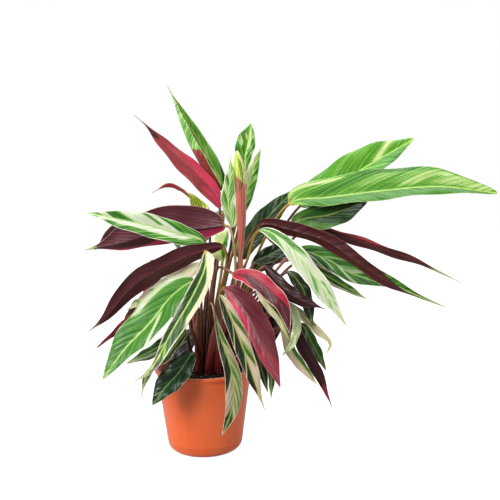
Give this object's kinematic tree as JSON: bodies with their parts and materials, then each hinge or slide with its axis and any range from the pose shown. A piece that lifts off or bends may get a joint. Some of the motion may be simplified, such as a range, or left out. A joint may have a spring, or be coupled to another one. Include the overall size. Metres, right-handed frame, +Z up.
{
  "type": "potted stromanthe plant",
  "caption": "Potted foliage plant with long lance-shaped leaves, green and cream above and maroon to pink below, in a plain round tapered plastic pot filled with soil.",
  "frame": {"origin": "the middle of the pot's flat underside, on the surface that the pot stands on", "axes": "+Z up along the pot's axis; +X to the viewer's right in the pictured view, the way the longest leaf reaches; +Y away from that viewer"},
  "size_m": [0.6201, 0.3683, 0.5479],
  "materials": {
    "terracotta_plastic": "orange-terracotta moulded plastic with a soft sheen",
    "potting_soil": "dark crumbly peat, matt",
    "green_leaf": "waxy green upper side with cream streaks, maroon underside",
    "variegated_leaf": "waxy cream and green upper side, pinkish maroon underside",
    "dark_leaf": "waxy dark green upper side, maroon underside",
    "maroon_leaf": "satin maroon underside turned to view, green upper side",
    "pink_leaf": "satin pink to magenta underside turned to view, green and cream upper side"
  },
  "bodies": {
    "root": {"pot": "terracotta_plastic", "soil": "potting_soil", "leaf_top_left": "green_leaf", "leaf_pink_left": "pink_leaf", "leaf_small_curl": "green_leaf", "leaf_grey_left": "maroon_leaf", "leaf_cream_left": "variegated_leaf", "leaf_maroon_left": "maroon_leaf", "leaf_green_left": "green_leaf", "leaf_cream_fold": "variegated_leaf", "leaf_thin_left": "dark_leaf", "leaf_speckled_low": "green_leaf", "leaf_green_pot": "dark_leaf", "leaf_maroon_low": "maroon_leaf", "leaf_speckled_mid": "variegated_leaf", "leaf_crown": "green_leaf", "leaf_pale_centre": "variegated_leaf", "leaf_cream_centre": "variegated_leaf", "leaf_dusky": "dark_leaf", "leaf_broad_right": "green_leaf", "leaf_long_right": "green_leaf", "leaf_under_right": "dark_leaf", "leaf_maroon_right": "maroon_leaf", "leaf_maroon_back": "maroon_leaf", "leaf_white_arch": "variegated_leaf", "leaf_speckled_right": "green_leaf", "leaf_low_right": "green_leaf", "leaf_black_green": "dark_leaf", "leaf_maroon_diag": "maroon_leaf", "leaf_pink_front": "pink_leaf", "leaf_magenta_front": "pink_leaf", "leaf_white_hang": "variegated_leaf", "leaf_pot_hang": "variegated_leaf", "leaf_black_hang": "dark_leaf", "leaf_green_tip": "green_leaf", "leaf_cream_hook": "variegated_leaf", "leaf_cream_low": "variegated_leaf", "leaf_pale_pendent": "variegated_leaf", "leaf_maroon_pendent": "maroon_leaf", "leaf_green_sliver": "green_leaf", "leaf_pink_pendent": "pink_leaf", "leaf_yellow_centre": "green_leaf", "leaf_dark_centre": "dark_leaf", "leaf_black_low": "dark_leaf", "leaf_back_left": "green_leaf", "leaf_back_left_mid": "green_leaf", "leaf_back_high": "green_leaf", "leaf_back_right": "green_leaf", "leaf_back_right_mid": "green_leaf", "leaf_back_left_low": "green_leaf", "leaf_back_low": "green_leaf", "leaf_back_right_low": "green_leaf", "leaf_back_low_left": "green_leaf", "leaf_shade_left": "maroon_leaf", "leaf_shade_middle": "maroon_leaf", "leaf_shade_right": "dark_leaf", "leaf_shade_high": "dark_leaf", "leaf_rolled": "maroon_leaf"}
  },
  "joints": []
}
